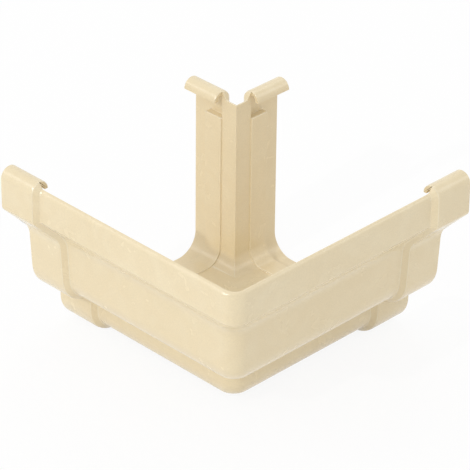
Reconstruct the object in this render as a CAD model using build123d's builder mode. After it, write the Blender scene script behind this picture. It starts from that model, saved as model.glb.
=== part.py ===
from build123d import *
from math import radians, sqrt, tan
import os

# A moulded gutter external angle: two arms of one channel section meet at a right angle.
# Each arm ends in a socket that takes the end of a length of gutter, with a clip over the
# front of the gutter and a hook over its back.
#
# Millimetres, +Z up. The origin is the corner of the fascia boards that the angle goes
# round, at the height of the sockets' undersides. The left arm runs along -X with its
# back to the plane y = 0, and the right arm is its mirror image, along +Y at x = 0.

# Overall sizes
socket_width = 130.0        # outside of a socket, from its front face to its back face
arm_length = 156.5          # front face of one arm to the open end of the other
wall = 2.1                  # thickness of the moulding
joggle = 3.0                # how far a socket stands out from the body all round

# Front of the body, from the rim down
rim_height = 97.5           # top of the front rim
band_depth = 17.0           # height of the plain band, from the rim's top to its foot
band_edge_radius = 0.8      # lower edge of the band
ledge_run = 16.5            # how far the ledge under the band goes in
ledge_angle = 45.3          # slope of the ledge below the horizontal
cove_radius = 13.5          # hollow curve from the ledge into the middle face
middle_lean = 3.6           # degrees that the middle face leans in towards its foot
round_foot = 27.1           # underside of the quarter round below the middle face
shelf_spare = 0.3           # flat under the quarter round, beyond the joggle's depth
base_inset = 35.7           # face of the base behind the face of the band
base_radius = 12.7          # round edge from the base's face to the floor
corner_radius = 8.0         # rounding of the front corner, in plan

# Back of the body
back_rise = 2.0             # top edge of the back wall above the front rim
back_radius = 11.1          # round edge from the floor to the back wall

# Sockets
socket_depth = 21.5         # how far the socket's bore goes in
joggle_lead = 1.0           # the outer joggle starts this far before the bore's end
joggle_length = 5.0         # length of the outer joggle
joggle_bend = 0.25          # share of that length that each of its soft bends takes
bend_fall = 0.08            # share of its depth that lies in each bend
clip_radius = 5.35          # outside of the rolled clip over the front
hook_radius = 5.1           # outside of the rolled hook over the back
hook_drop = 0.8             # middle of the hook's roll below the body's back edge

# Raised land round the inside of each socket
land_width = 11.0           # along the arm, from the bore's end outwards
land_rise = 0.7             # how far it stands proud of the body's inner face
land_drop = 8.7             # top ends of the land below the front rim

blank_rise = 22.0           # open sections are drawn this far above the front rim
margin = 5.0                # how far cutters run past what they cut
quarter = 90.0

# Places and sizes worked out from these, on the left arm
band_face = joggle - socket_width
back_face = -joggle
floor_level = joggle
band_foot = rim_height - band_depth
middle_top = band_foot - ledge_run * tan(radians(ledge_angle))
middle_run = (middle_top - round_foot) * tan(radians(middle_lean))
shelf = joggle + shelf_spare
round_run = base_inset - ledge_run - middle_run - shelf
round_radius = round_run * tan(radians(quarter + middle_lean) / 2)
middle_y = (band_face + back_face) / 2
rim_round = clip_radius - joggle
back_round = hook_radius - joggle
end_x = socket_width - arm_length
stop_x = end_x + socket_depth
joggle_x = stop_x - joggle_lead
body_x = joggle_x + joggle_length
clip_y = clip_radius - socket_width
clip_height = rim_height - rim_round
back_height = rim_height + back_rise
hook_height = back_height - hook_drop
hook_top = hook_height + back_round
hook_fall = hook_top - back_height
land_height = rim_height - land_drop
blank_top = rim_height + blank_rise
mitre = Plane(origin=(0, 0, 0), x_dir=(0, 0, 1), z_dir=(1, 1, 0))
# Shares of the joggle's length, and of its fall down to there
joggle_line = ((0, 0), (joggle_bend, bend_fall), (1 - joggle_bend, 1 - bend_fall), (1, 1))


def across(x):
    """The plane across the left arm at x, with its own x along +Y and y along +Z."""
    return Plane.YZ.offset(x)


def outline(spread, front_top=blank_top, back_top=blank_top + margin):
    """The channel's outline in the arm's cross-section, grown outwards by spread."""
    corners = [
        ((band_face, band_foot), band_edge_radius),
        ((band_face + ledge_run, middle_top), cove_radius),
        ((band_face + ledge_run + middle_run, round_foot), round_radius),
        ((band_face + base_inset, floor_level), base_radius),
        ((back_face, floor_level), back_radius),
    ]
    if front_top < blank_top:
        corners.append(((band_face, front_top), rim_round))
        corners.append(((back_face, back_top), back_round))
    with BuildSketch() as profile:
        with BuildLine():
            Polyline(
                (band_face, front_top),
                (band_face, band_foot),
                (band_face + ledge_run, middle_top),
                (band_face + ledge_run + middle_run, round_foot),
                (band_face + base_inset, round_foot),
                (band_face + base_inset, floor_level),
                (back_face, floor_level),
                (back_face, back_top),
                (middle_y, back_top),
                (middle_y, front_top),
                close=True,
            )
        make_face()
        for place, radius in corners:
            fillet(profile.vertices().sort_by_distance((*place, 0))[0], radius)
        if spread:
            offset(amount=spread, kind=Kind.INTERSECTION)
    return profile.sketch


def channel(section, near_x, radius):
    """The section run along both arms from near_x, with the front corner rounded."""
    with BuildPart() as arm:
        with BuildSketch(across(near_x)):
            add(section)
        extrude(amount=socket_width - near_x)
        split(bisect_by=mitre, keep=Keep.BOTTOM)
    seam = arm.faces().filter_by(mitre)[0]
    with BuildPart() as arms:
        add(arm.part)
        mirror(about=mitre)
    with BuildLine() as turn:
        CenterArc((-radius, radius), radius, -quarter, quarter)
    # The mitred section slides round the quarter circle without turning
    with BuildPart() as corner:
        sweep(seam.moved(Location((-radius, 0, 0))), path=turn.line, normal=mitre.z_dir)
        add(arms.part, mode=Mode.INTERSECT)
    with BuildPart() as whole:
        add(arm.part)
        split(bisect_by=mitre.offset(-radius / sqrt(2)), keep=Keep.BOTTOM)
        mirror(about=mitre)
        add(corner.part)
    return whole.part


def quarter_disc(y, z, radius, inwards):
    """The upper quarter of a disc about (y, z), on the side where y grows if inwards is 1."""
    side = Align.MIN if inwards > 0 else Align.MAX
    with BuildSketch() as disc:
        with Locations((y, z)):
            Circle(radius)
            Rectangle(radius, radius, align=(side, Align.MIN), mode=Mode.INTERSECT)
    return disc.sketch


def rolled_lip(y, z, radius, fall, inwards):
    """The inner half of a rolled edge, from its crest down, which shrinks in the joggle."""
    with BuildPart() as lip:
        for along, down in joggle_line:
            with BuildSketch(across(joggle_x + joggle_length * along)):
                add(quarter_disc(y, z - fall * down, radius - joggle * down, inwards))
        loft(ruled=True)
        split(bisect_by=across(stop_x), keep=Keep.BOTTOM)
        with BuildSketch(across(end_x)):
            add(quarter_disc(y, z, radius, inwards))
        extrude(amount=joggle_x - end_x)
        with BuildSketch(across(end_x)):
            with Locations((y, z)):
                Circle(radius - wall)
        extrude(amount=socket_depth, mode=Mode.SUBTRACT)
    return lip.part


# Outside of one end: the socket, and its joggle down to the body
with BuildPart() as end_outside:
    for along, down in joggle_line:
        with BuildSketch(across(joggle_x + joggle_length * along)):
            add(outline(joggle * (1 - down), rim_height, hook_top - hook_fall * down))
    loft(ruled=True)
    with BuildSketch(across(end_x)):
        add(outline(joggle, rim_height, hook_top))
    extrude(amount=joggle_x - end_x)

with BuildPart() as outside:
    add(channel(outline(0, rim_height, back_height), body_x, corner_radius))
    add(end_outside.part)
    mirror(end_outside.part, about=mitre)

# Space inside one socket, open at the top between the crests of its two rolled edges
with BuildPart() as bore:
    with BuildSketch(across(end_x - margin)):
        add(outline(joggle - wall, rim_height, hook_top))
        with Locations((clip_y, clip_height)):
            Rectangle(-hook_radius - clip_y, blank_top, align=Align.MIN)
    extrude(amount=socket_depth + margin)

with BuildPart() as inside:
    add(channel(outline(-wall), stop_x, corner_radius - wall))
    add(bore.part)
    mirror(bore.part, about=mitre)

with BuildPart() as land:
    with BuildSketch(across(stop_x)):
        add(outline(joggle - wall))
        add(outline(-wall - land_rise), mode=Mode.SUBTRACT)
    extrude(amount=-land_width)
    split(bisect_by=Plane.XY.offset(land_height), keep=Keep.BOTTOM)

clip_lip = rolled_lip(clip_y, clip_height, clip_radius, 0, 1)
hook_lip = rolled_lip(-hook_radius, hook_height, hook_radius, hook_fall, -1)

with BuildPart() as gutter_angle:
    add(outside.part)
    add(inside.part, mode=Mode.SUBTRACT)
    for fitting in (land.part, clip_lip, hook_lip):
        add(fitting)
        mirror(fitting, about=mitre)

gutter_angle.part.label = "gutter_angle"
os.makedirs("parts", exist_ok=True)
export_step(gutter_angle.part, "parts/gutter_angle.step")
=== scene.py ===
import logging
import math
from dataclasses import dataclass
from enum import Enum
from typing import Any

import bmesh
import bpy
from mathutils import Matrix, Vector


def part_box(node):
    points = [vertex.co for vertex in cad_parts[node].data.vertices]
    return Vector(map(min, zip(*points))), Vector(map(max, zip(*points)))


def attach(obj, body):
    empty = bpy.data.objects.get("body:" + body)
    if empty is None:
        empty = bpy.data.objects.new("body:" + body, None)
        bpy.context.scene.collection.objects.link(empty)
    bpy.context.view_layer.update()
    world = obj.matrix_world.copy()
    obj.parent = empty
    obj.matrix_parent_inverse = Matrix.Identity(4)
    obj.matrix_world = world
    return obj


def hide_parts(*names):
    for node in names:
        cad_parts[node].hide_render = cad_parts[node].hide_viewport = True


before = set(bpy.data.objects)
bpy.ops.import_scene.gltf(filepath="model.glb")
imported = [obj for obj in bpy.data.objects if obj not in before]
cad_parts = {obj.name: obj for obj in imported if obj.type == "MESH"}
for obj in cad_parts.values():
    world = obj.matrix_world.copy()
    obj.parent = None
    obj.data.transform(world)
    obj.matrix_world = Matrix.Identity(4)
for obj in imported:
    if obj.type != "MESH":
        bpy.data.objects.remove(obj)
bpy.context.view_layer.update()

log = logging.getLogger("gutter_angle")

Colour = tuple[float, float, float]
Place = tuple[float, float, float]


class Joining(Enum):
    """How a math node joins two values."""

    SUM = "ADD"
    PRODUCT = "MULTIPLY"
    LARGER = "MAXIMUM"


class NodeBench:
    """Adds the nodes of one material or world, laid out in columns, and joins them up."""

    column: int = 220
    row: int = 260
    rows: int = 4

    def __init__(self, tree: bpy.types.NodeTree) -> None:
        """Starts with an empty tree.

        Args:
            tree: The node tree of a material or of the world.
        """
        self.tree = tree
        self.tree.nodes.clear()
        self.step = 0

    def add(self, kind: str, label: str, **settings: Any) -> bpy.types.Node:
        """Adds one node and names it.

        Args:
            kind: The node's type, such as ShaderNodeTexNoise.
            label: What the node is for, in plain words.
            **settings: Properties of the node to set.

        Returns:
            The new node.
        """
        node = self.tree.nodes.new(kind)
        node.label = label
        node.location = (self.column * (self.step // self.rows), -self.row * (self.step % self.rows))
        self.step += 1
        for name, value in settings.items():
            setattr(node, name, value)
        return node

    def join(self, source: bpy.types.NodeSocket, target: bpy.types.NodeSocket) -> None:
        """Links an output to an input."""
        self.tree.links.new(source, target)

    def noise(self, where: bpy.types.NodeSocket, label: str, scale: float, detail: float,
              roughness: float, distortion: float = 0.0) -> bpy.types.NodeSocket:
        """Adds a noise texture on a place socket.

        Args:
            where: The coordinates that the noise reads.
            label: What the noise stands for.
            scale: Cells to the metre.
            detail: How many finer layers it has.
            roughness: How strong the finer layers are.
            distortion: How far it is swirled.

        Returns:
            The noise's value, about 0.5 on average.
        """
        node = self.add("ShaderNodeTexNoise", label)
        node.inputs["Scale"].default_value = scale
        node.inputs["Detail"].default_value = detail
        node.inputs["Roughness"].default_value = roughness
        node.inputs["Distortion"].default_value = distortion
        self.join(where, node.inputs["Vector"])
        return node.outputs["Fac"]

    def spread(self, value: bpy.types.NodeSocket, label: str, low: float, high: float,
               start: float = 0.0, stop: float = 1.0) -> bpy.types.NodeSocket:
        """Maps a value from one range to another, and holds it there.

        Args:
            value: The value to map.
            label: What the result is for.
            low: Result at the start of the range.
            high: Result at its end.
            start: Where the range starts.
            stop: Where the range ends.

        Returns:
            The mapped value.
        """
        node = self.add("ShaderNodeMapRange", label)
        node.inputs["From Min"].default_value = start
        node.inputs["From Max"].default_value = stop
        node.inputs["To Min"].default_value = low
        node.inputs["To Max"].default_value = high
        self.join(value, node.inputs["Value"])
        return node.outputs["Result"]

    def merge(self, joining: Joining, label: str, first: bpy.types.NodeSocket,
              second: bpy.types.NodeSocket | float) -> bpy.types.NodeSocket:
        """Adds a math node on two values.

        Args:
            joining: How the two are joined.
            label: What the result is for.
            first: The first value.
            second: The second value, a socket or a number.

        Returns:
            The result.
        """
        node = self.add("ShaderNodeMath", label, operation=joining.value)
        self.join(first, node.inputs[0])
        if isinstance(second, (int, float)):
            node.inputs[1].default_value = second
        else:
            self.join(second, node.inputs[1])
        return node.outputs[0]

    def bump(self, height: bpy.types.NodeSocket, label: str, depth: float,
             below: bpy.types.NodeSocket | None = None) -> bpy.types.NodeSocket:
        """Adds a bump node.

        Args:
            height: The height, from 0 to 1.
            label: What makes the bump.
            depth: Metres between a height of 0 and of 1.
            below: Another bump's normal that this one lies on.

        Returns:
            The bumped normal.
        """
        node = self.add("ShaderNodeBump", label)
        node.inputs["Strength"].default_value = 1.0
        node.inputs["Distance"].default_value = depth
        self.join(height, node.inputs["Height"])
        if below is not None:
            self.join(below, node.inputs["Normal"])
        return node.outputs["Normal"]


@dataclass(frozen=True)
class CreamMoulding:
    """Cream rigid plastic as it comes from the mould: a soft sheen over a fine skin.

    Scales of the patterns are in cells to the metre, and depths are in metres. The
    sheen's roughness goes down by sheen_drop and up by sheen_rise from place to place.
    The scuffs' pattern is turned, in radians, and squeezed along its own axes.
    """

    name: str = "cream_moulding"
    colour: Colour = (0.826, 0.703, 0.474)
    pale_colour: Colour = (0.850, 0.738, 0.516)
    warm_colour: Colour = (0.806, 0.675, 0.444)
    # The edge colour is partly wear and partly a painted highlight. It lightens the shaded creases of the
    # rounded edges and the steps of the lands.
    edge_wear_and_highlight_colour: Colour = (0.900, 0.820, 0.650)
    index: float = 1.47
    sheen_roughness: float = 0.22
    sheen_drop: float = 0.05
    sheen_rise: float = 0.07
    sheen_scale: float = 71.4
    cloud_scale: float = 16.0
    streak_scale: float = 34.0
    speck_scale: float = 1500.0
    skin_scale: float = 2100.0
    sink_scale: float = 42.0
    scuff_scale: float = 210.0
    scuff_turn: Place = (0.35, 0.5, 0.8)
    scuff_squeeze: Place = (1.0, 7.0, 5.0)
    scuff_dulls: float = 0.05
    rubbing_polishes: float = 0.06
    # How much of the edge colour lies on the rounded edges: partly wear, partly painted highlight.
    edge_wear_and_highlight_share: float = 0.60
    skin_depth: float = 0.000006
    sink_depth: float = 0.00022
    scuff_depth: float = 0.0000015
    edge_attribute: str = "moulded_edge"

    def make(self) -> bpy.types.Material:
        """Builds the material.

        Returns:
            The finished material.
        """
        material = bpy.data.materials.new(self.name)
        material.use_nodes = True
        bench = NodeBench(material.node_tree)
        place = bench.add("ShaderNodeTexCoord", "place on the moulding").outputs["Object"]
        colour, edge = self.pigment(bench, place)
        gloss, scuff = self.gloss(bench, place, edge)
        normal = self.relief(bench, place, scuff)
        skin = bench.add("ShaderNodeBsdfPrincipled", "moulded plastic")
        skin.inputs["IOR"].default_value = self.index
        bench.join(colour, skin.inputs["Base Color"])
        bench.join(gloss, skin.inputs["Roughness"])
        bench.join(normal, skin.inputs["Normal"])
        out = bench.add("ShaderNodeOutputMaterial", "surface")
        bench.join(skin.outputs["BSDF"], out.inputs["Surface"])
        return material

    def pigment(self, bench: NodeBench, place: bpy.types.NodeSocket
                ) -> tuple[bpy.types.NodeSocket, bpy.types.NodeSocket]:
        """Lays the colour: soft clouds, flow streaks, fine specks and paler edges. The paler edges are
        partly wear and partly a painted highlight that lifts the shade in their creases.

        Args:
            bench: The material's nodes.
            place: The place on the piece.

        Returns:
            The colour, and how much of an edge there is at the place.
        """
        clouds = bench.noise(place, "clouds in the pigment", self.cloud_scale,
                             detail=3.0, roughness=0.5, distortion=0.4)
        streaks = bench.noise(place, "streaks of the flow", self.streak_scale,
                              detail=2.0, roughness=0.4, distortion=2.6)
        specks = bench.noise(place, "fine specks", self.speck_scale, detail=2.0, roughness=0.6)
        warm = bench.spread(clouds, "warm clouds", low=0.0, high=0.55, start=0.35, stop=0.7)
        pale = bench.spread(streaks, "pale streaks", low=0.0, high=0.5, start=0.42, stop=0.72)
        dots = bench.spread(specks, "strength of the specks", low=0.965, high=1.03, start=0.3, stop=0.7)
        edge = bench.add("ShaderNodeAttribute", "moulded edges",
                         attribute_name=self.edge_attribute).outputs["Fac"]
        # Painted highlight, partly wear: the rounded edges, concave ones too, are painted paler to lift
        # the shade in their creases.
        wear_and_highlight_share = bench.merge(Joining.PRODUCT, "how pale an edge is", edge, self.edge_wear_and_highlight_share)
        mixed = self.tint(bench, "body and warm clouds", warm, self.colour, self.warm_colour)
        mixed = self.tint(bench, "and pale streaks", pale, mixed, self.pale_colour)
        mixed = self.tint(bench, "and edges", wear_and_highlight_share, mixed, self.edge_wear_and_highlight_colour)
        speckled = bench.add("ShaderNodeVectorMath", "and specks", operation="SCALE")
        bench.join(mixed, speckled.inputs[0])
        bench.join(dots, speckled.inputs["Scale"])
        return speckled.outputs[0], edge

    def tint(self, bench: NodeBench, label: str, share: bpy.types.NodeSocket,
             below: bpy.types.NodeSocket | Colour, above: Colour) -> bpy.types.NodeSocket:
        """Mixes a colour over another.

        Args:
            bench: The material's nodes.
            label: What the mix shows.
            share: How much of the upper colour there is.
            below: The lower colour, a socket or a value.
            above: The upper colour.

        Returns:
            The mixed colour.
        """
        node = bench.add("ShaderNodeMix", label, data_type="RGBA")
        bench.join(share, node.inputs["Factor"])
        if isinstance(below, tuple):
            node.inputs["A"].default_value = (*below, 1.0)
        else:
            bench.join(below, node.inputs["A"])
        node.inputs["B"].default_value = (*above, 1.0)
        return node.outputs["Result"]

    def gloss(self, bench: NodeBench, place: bpy.types.NodeSocket, edge: bpy.types.NodeSocket
              ) -> tuple[bpy.types.NodeSocket, bpy.types.NodeSocket]:
        """Sets how rough the skin is: cloudy sheen, dull scuffs, and edges rubbed smooth.

        Args:
            bench: The material's nodes.
            place: The place on the piece.
            edge: How much of an edge there is.

        Returns:
            The roughness, and how scuffed the place is.
        """
        sheen = bench.noise(place, "clouds in the sheen", self.sheen_scale,
                            detail=3.0, roughness=0.55, distortion=0.6)
        even = bench.spread(sheen, "sheen from place to place", low=self.sheen_roughness - self.sheen_drop,
                            high=self.sheen_roughness + self.sheen_rise, start=0.3, stop=0.7)
        turned = bench.add("ShaderNodeMapping", "scuffs run slantwise")
        turned.inputs["Rotation"].default_value = self.scuff_turn
        turned.inputs["Scale"].default_value = self.scuff_squeeze
        bench.join(place, turned.inputs["Vector"])
        marks = bench.noise(turned.outputs["Vector"], "handling scuffs", self.scuff_scale,
                            detail=2.0, roughness=0.5)
        scuff = bench.spread(marks, "only the strongest scuffs", low=0.0, high=1.0, start=0.74, stop=0.90)
        dull = bench.merge(Joining.PRODUCT, "scuffs are duller", scuff, self.scuff_dulls)
        rubbed = bench.merge(Joining.PRODUCT, "edges are rubbed smooth", edge, -self.rubbing_polishes)
        rough = bench.merge(Joining.SUM, "sheen and scuffs", even, dull)
        return bench.merge(Joining.SUM, "and edges", rough, rubbed), scuff

    def relief(self, bench: NodeBench, place: bpy.types.NodeSocket,
               scuff: bpy.types.NodeSocket) -> bpy.types.NodeSocket:
        """Raises the skin: slow sink waves, the mould's fine grain and shallow scuffs.

        Args:
            bench: The material's nodes.
            place: The place on the piece.
            scuff: How scuffed the place is.

        Returns:
            The bumped normal.
        """
        waves = bench.noise(place, "sink waves behind the walls", self.sink_scale,
                            detail=1.5, roughness=0.45, distortion=0.3)
        grain = bench.noise(place, "grain of the mould", self.skin_scale, detail=2.0, roughness=0.6)
        wavy = bench.bump(waves, "sink waves", self.sink_depth)
        grained = bench.bump(grain, "grain", self.skin_depth, wavy)
        return bench.bump(scuff, "scuffs", -self.scuff_depth, grained)


@dataclass
class GutterMoulding:
    """The whole angle, one moulding: channel arms, sockets, raised lands, clips and hooks.

    Its form is the solid's own; this adds the small soft edges that a mould leaves.
    Lengths are in metres and angles in degrees. An edge is rounded less than its
    softness where an edge beside it is shorter than edge_room times that, except at
    the ends of the lands. A face narrower than edge_strip times the softness is taken
    to be part of a rounded edge. The lands end at land_end along each arm, measured
    towards the corner from the origin, and their tops are at the height land_top. A
    face looks along a line where the cosine of the angle between them is above square_on.
    """

    node: str = "gutter_angle"
    name: str = "angle_moulding"
    slot: str = "moulding"
    body: str = "root"
    weld: float = 0.000004
    flat: float = 0.05
    edge_softness: float = 0.00020
    edge_angle: float = 32.0
    edge_steps: int = 3
    edge_room: float = 4.0
    land_softness: float = 0.00045
    land_end: float = -0.005
    land_top: float = 0.0888
    square_on: float = 0.99
    edge_strip: float = 0.72
    smooth_angle: float = 40.0
    flat_weight: int = 80
    edge_attribute: str = "moulded_edge"

    def build(self) -> bpy.types.Object:
        """Makes the piece from the solid's shape, with soft edges and smooth curves.

        Returns:
            The finished piece, at the origin, in place of the solid.
        """
        clear_selection()
        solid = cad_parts[self.node]
        piece = bpy.data.objects.new(self.name, solid.data.copy())
        piece.data.name = self.name
        piece.data.materials.clear()
        bpy.context.scene.collection.objects.link(piece)
        hold(piece)
        self.join_facets()
        self.soften_edges(piece)
        return piece

    def join_facets(self) -> None:
        """Welds the loose facets and makes each flat face one face again."""
        bpy.ops.mesh.customdata_custom_splitnormals_clear()
        bpy.ops.object.mode_set(mode="EDIT")
        bpy.ops.mesh.select_all(action="SELECT")
        bpy.ops.mesh.remove_doubles(threshold=self.weld)
        bpy.ops.mesh.dissolve_limited(angle_limit=math.radians(self.flat))
        bpy.ops.mesh.normals_make_consistent(inside=False)
        bpy.ops.object.mode_set(mode="OBJECT")

    def soften_edges(self, piece: bpy.types.Object) -> None:
        """Rounds the sharp edges slightly, marks them and smooths the curved faces.

        Args:
            piece: The welded piece.
        """
        before = len(piece.data.polygons)
        self.weigh_edges(piece)
        bevel = piece.modifiers.new("moulded edges", "BEVEL")
        bevel.width = self.widest()
        bevel.segments = self.edge_steps
        bevel.limit_method = "WEIGHT"
        bevel.use_clamp_overlap = False
        bpy.ops.object.modifier_apply(modifier=bevel.name)
        log.info("%s: %d faces, %d with soft edges", self.name, before, len(piece.data.polygons))
        self.mark_edges(piece)
        bpy.ops.object.shade_smooth_by_angle(angle=math.radians(self.smooth_angle))
        weights = piece.modifiers.new("flat faces stay flat", "WEIGHTED_NORMAL")
        weights.weight = self.flat_weight
        weights.keep_sharp = True
        bpy.ops.object.modifier_apply(modifier=weights.name)

    def weigh_edges(self, piece: bpy.types.Object) -> None:
        """Says how far each sharp edge is rounded: less where the edges beside it are short.

        Args:
            piece: The welded piece.
        """
        shape = bmesh.new()
        shape.from_mesh(piece.data)
        share = shape.edges.layers.float.new("bevel_weight_edge")
        for edge in shape.edges:
            if edge.calc_face_angle() > math.radians(self.edge_angle):
                beside = [e.calc_length() for end in edge.verts for e in end.link_edges if e != edge]
                softness = min(self.edge_softness, min(beside) / self.edge_room)
                if self.is_land_edge(edge):
                    softness = self.land_softness
                edge[share] = softness / self.widest()
        shape.to_mesh(piece.data)
        shape.free()

    def widest(self) -> float:
        """Gives the largest softness, which the weight of each edge is a share of."""
        return max(self.edge_softness, self.land_softness)

    def land_faces(self) -> tuple[tuple[Vector, float], ...]:
        """Tells where the raised lands end: towards the corner in each arm, and upwards.

        Returns:
            For each such end, the way it faces and how far out it is that way.
        """
        return ((Vector((1.0, 0.0, 0.0)), self.land_end), (Vector((0.0, -1.0, 0.0)), self.land_end),
                (Vector((0.0, 0.0, 1.0)), self.land_top))

    def is_land_edge(self, edge: bmesh.types.BMEdge) -> bool:
        """Says whether an edge is where a raised land ends, towards the corner or upwards.

        Args:
            edge: An edge of the welded piece.

        Returns:
            Whether it is the outer edge of that end.
        """
        if not edge.is_convex or max(end.co.z for end in edge.verts) > self.land_top + self.weld:
            return False
        for outwards, level in self.land_faces():
            there = all(abs(end.co.dot(outwards) - level) < self.weld for end in edge.verts)
            if there and any(face.normal.dot(outwards) > self.square_on for face in edge.link_faces):
                return True
        return False

    def is_by_land_edge(self, place: Vector) -> bool:
        """Says whether a place is within the rounding of such an edge.

        Args:
            place: The middle of a face.

        Returns:
            Whether it is as near to the end of a land as the rounding is wide.
        """
        below = place.z < self.land_top + self.land_softness
        return below and any(abs(place.dot(outwards) - level) < self.land_softness
                             for outwards, level in self.land_faces())

    def mark_edges(self, piece: bpy.types.Object) -> None:
        """Keeps in the mesh which faces are soft edges, for the finish to read.

        Args:
            piece: The piece with its rounded edges.
        """
        mesh = piece.data
        marks = mesh.attributes.new(self.edge_attribute, "FLOAT", "CORNER")
        for face in mesh.polygons:
            places = [mesh.vertices[i].co for i in face.vertices]
            sides = [(a - b).length for a, b in zip(places, places[1:] + places[:1])]
            softness = self.land_softness if self.is_by_land_edge(face.center) else self.edge_softness
            is_edge = len(places) == 4 and min(sides) < softness * self.edge_strip
            for loop in face.loop_indices:
                marks.data[loop].value = 1.0 if is_edge else 0.0

    def dress(self, piece: bpy.types.Object, finish: bpy.types.Material) -> None:
        """Gives the piece its finish and its place in the model.

        Args:
            piece: The finished piece.
            finish: The material that covers it.
        """
        piece.data.materials.append(finish)
        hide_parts(self.node)
        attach(piece, self.body)


@dataclass(frozen=True)
class SoftBox:
    """A soft studio lamp, at a distance from what it lights.

    Lengths are in metres and the power is in watts. A gloss_only lamp is a card that
    shows in the gloss and adds no light to the colour.
    """

    name: str
    direction: Place
    distance: float
    width: float
    height: float
    power: float
    gloss_only: bool = False
    aim: Place = (0.05, -0.05, 0.05)

    def set_up(self) -> bpy.types.Object:
        """Puts the lamp in its place, turned to what it lights.

        Returns:
            The lamp.
        """
        light = bpy.data.lights.new(self.name, "AREA")
        light.shape = "RECTANGLE"
        light.size = self.width
        light.size_y = self.height
        light.energy = self.power
        lamp = bpy.data.objects.new(self.name, light)
        bpy.context.scene.collection.objects.link(lamp)
        lamp.location = Vector(self.aim) + Vector(self.direction).normalized() * self.distance
        towards = Vector(self.aim) - lamp.location
        lamp.rotation_euler = towards.to_track_quat("-Z", "Y").to_euler()
        lamp.visible_diffuse = not self.gloss_only
        return lamp


@dataclass(frozen=True)
class PhotoCamera:
    """The camera, at the photograph's viewing angle. Lengths are in metres, angles in degrees."""

    target: Place = (0.080432, -0.080432, 0.053350)
    azimuth: float = 44.97963
    elevation: float = 31.10931
    roll: float = -0.63596
    distance: float = 1.486878
    across: float = 0.000165
    above: float = 0.031346
    lens: float = 243.90
    sensor: float = 36.0
    frame_pixels: int = 470
    shift_pixels: float = 0.5
    near: float = 0.05
    far: float = 50.0

    def set_up(self) -> bpy.types.Object:
        """Makes the camera and gives it to the scene.

        Returns:
            The camera.
        """
        turn, rise, lean = (math.radians(v) for v in (self.azimuth, self.elevation, self.roll))
        back = Vector((math.sin(turn) * math.cos(rise), -math.cos(turn) * math.cos(rise),
                       math.sin(rise)))
        right = Vector((math.cos(turn), math.sin(turn), 0.0))
        up = back.cross(right)
        eye = Vector(self.target) + back * self.distance + right * self.across + up * self.above
        level = right * math.cos(lean) - up * math.sin(lean)
        upright = right * math.sin(lean) + up * math.cos(lean)
        data = bpy.data.cameras.new("photo_camera")
        data.sensor_width = self.sensor
        data.lens = self.lens
        data.shift_x = -self.shift_pixels / self.frame_pixels
        data.shift_y = self.shift_pixels / self.frame_pixels
        data.clip_start = self.near
        data.clip_end = self.far
        camera = bpy.data.objects.new("photo_camera", data)
        bpy.context.scene.collection.objects.link(camera)
        turned = Matrix((level, upright, back)).transposed().to_4x4()
        camera.matrix_world = Matrix.Translation(eye) @ turned
        bpy.context.scene.camera = camera
        return camera


@dataclass(frozen=True)
class PaleFloor:
    """A plain pale floor that shows white and keeps a faint shadow. Lengths are in metres."""

    name: str = "studio_floor"
    size: float = 12.0
    level: float = -0.00005
    tone: float = 0.95
    glow_share: float = 0.90

    def lay(self) -> bpy.types.Object:
        """Lays the floor under the part.

        Returns:
            The floor.
        """
        clear_selection()
        bpy.ops.mesh.primitive_plane_add(size=self.size, location=(0.0, 0.0, self.level))
        floor = bpy.context.active_object
        floor.name = self.name
        floor.data.materials.append(self.make_finish())
        return floor

    def make_finish(self) -> bpy.types.Material:
        """Builds the floor's finish, white to the camera where nothing shades it.

        Returns:
            The floor's material.
        """
        material = bpy.data.materials.new(self.name)
        material.use_nodes = True
        bench = NodeBench(material.node_tree)
        matt = bench.add("ShaderNodeBsdfDiffuse", "matt floor")
        matt.inputs["Color"].default_value = (self.tone, self.tone, self.tone, 1.0)
        white = bench.add("ShaderNodeEmission", "white to the camera")
        white.inputs["Strength"].default_value = 1.0
        seen = seen_directly(bench)
        share = bench.merge(Joining.PRODUCT, "share of the white", seen, self.glow_share)
        mix = bench.add("ShaderNodeMixShader", "floor")
        bench.join(share, mix.inputs[0])
        bench.join(matt.outputs[0], mix.inputs[1])
        bench.join(white.outputs[0], mix.inputs[2])
        out = bench.add("ShaderNodeOutputMaterial", "surface")
        bench.join(mix.outputs[0], out.inputs["Surface"])
        return material


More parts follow.
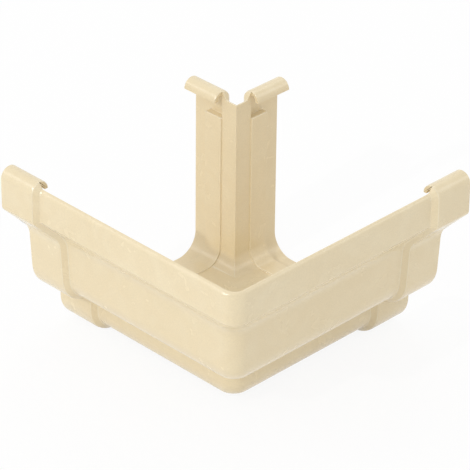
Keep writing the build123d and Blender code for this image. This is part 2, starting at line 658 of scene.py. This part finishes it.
@dataclass
class Studio:
    """Floor, soft lamps, even surroundings and camera.

    A small bulb in front casts the shadows, two soft boxes fill in, and the two cards
    show only in the gloss. The strength of the even light is surround.
    """

    surround: float = 0.79
    lamps: tuple[SoftBox, ...] = (
        SoftBox("front_bulb", (0.04, -0.813, 0.581), 2.4, 0.045, 0.045, 10.6),
        SoftBox("left_softbox", (-0.63, -0.53, 0.57), 1.6, 0.46, 0.46, 1.5),
        SoftBox("back_softbox", (-0.30, 0.45, 0.84), 1.6, 0.60, 0.60, 2.2),
        SoftBox("right_card", (0.53, 0.63, 0.57), 1.6, 0.55, 0.55, 1.7, gloss_only=True),
        SoftBox("front_card", (-0.26, -0.84, 0.48), 2.0, 0.92, 0.78, 29.0, gloss_only=True),
    )

    def set_up(self) -> None:
        """Sets out the whole studio."""
        PhotoCamera().set_up()
        PaleFloor().lay()
        for lamp in self.lamps:
            lamp.set_up()
            log.info("lamp %s, %.1f W", lamp.name, lamp.power)
        self.surroundings()

    def surroundings(self) -> None:
        """Lights the part evenly from all round, and shows white behind it."""
        world = bpy.data.worlds.new("pale_studio")
        world.use_nodes = True
        bpy.context.scene.world = world
        bench = NodeBench(world.node_tree)
        even = bench.add("ShaderNodeBackground", "even light")
        even.inputs["Strength"].default_value = self.surround
        white = bench.add("ShaderNodeBackground", "white behind")
        white.inputs["Strength"].default_value = 1.0
        for light in (even, white):
            light.inputs["Color"].default_value = (1.0, 1.0, 1.0, 1.0)
        mix = bench.add("ShaderNodeMixShader", "surroundings")
        bench.join(seen_directly(bench), mix.inputs[0])
        bench.join(even.outputs[0], mix.inputs[1])
        bench.join(white.outputs[0], mix.inputs[2])
        out = bench.add("ShaderNodeOutputWorld", "surroundings")
        bench.join(mix.outputs[0], out.inputs["Surface"])


def seen_directly(bench: NodeBench) -> bpy.types.NodeSocket:
    """Finds whether a ray is the camera's own, or seen in or through a surface.

    Args:
        bench: The nodes of the floor or the world.

    Returns:
        A value of 1 for such a ray, and of 0 for the light that falls on the part.
    """
    path = bench.add("ShaderNodeLightPath", "kind of ray")
    mirrored = bench.merge(Joining.LARGER, "seen or mirrored", path.outputs["Is Camera Ray"],
                          path.outputs["Is Glossy Ray"])
    return bench.merge(Joining.LARGER, "or seen through", mirrored, path.outputs["Is Transmission Ray"])


def clear_selection() -> None:
    """Deselects everything."""
    bpy.ops.object.select_all(action="DESELECT")


def hold(piece: bpy.types.Object) -> None:
    """Selects one piece alone and makes it the active one.

    Args:
        piece: The piece to select.
    """
    clear_selection()
    piece.select_set(True)
    bpy.context.view_layer.objects.active = piece


def main() -> None:
    """Builds the studio and the part, and reports each piece."""
    logging.basicConfig(level=logging.INFO, format="%(name)s: %(message)s")
    scene = bpy.context.scene
    scene.view_settings.view_transform = "Standard"
    Studio().set_up()
    moulding = GutterMoulding()
    piece = moulding.build()
    moulding.dress(piece, CreamMoulding().make())
    low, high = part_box(moulding.node)
    log.info("%s stands from %s to %s", piece.name, tuple(low), tuple(high))


if __name__ == "__main__":
    main()
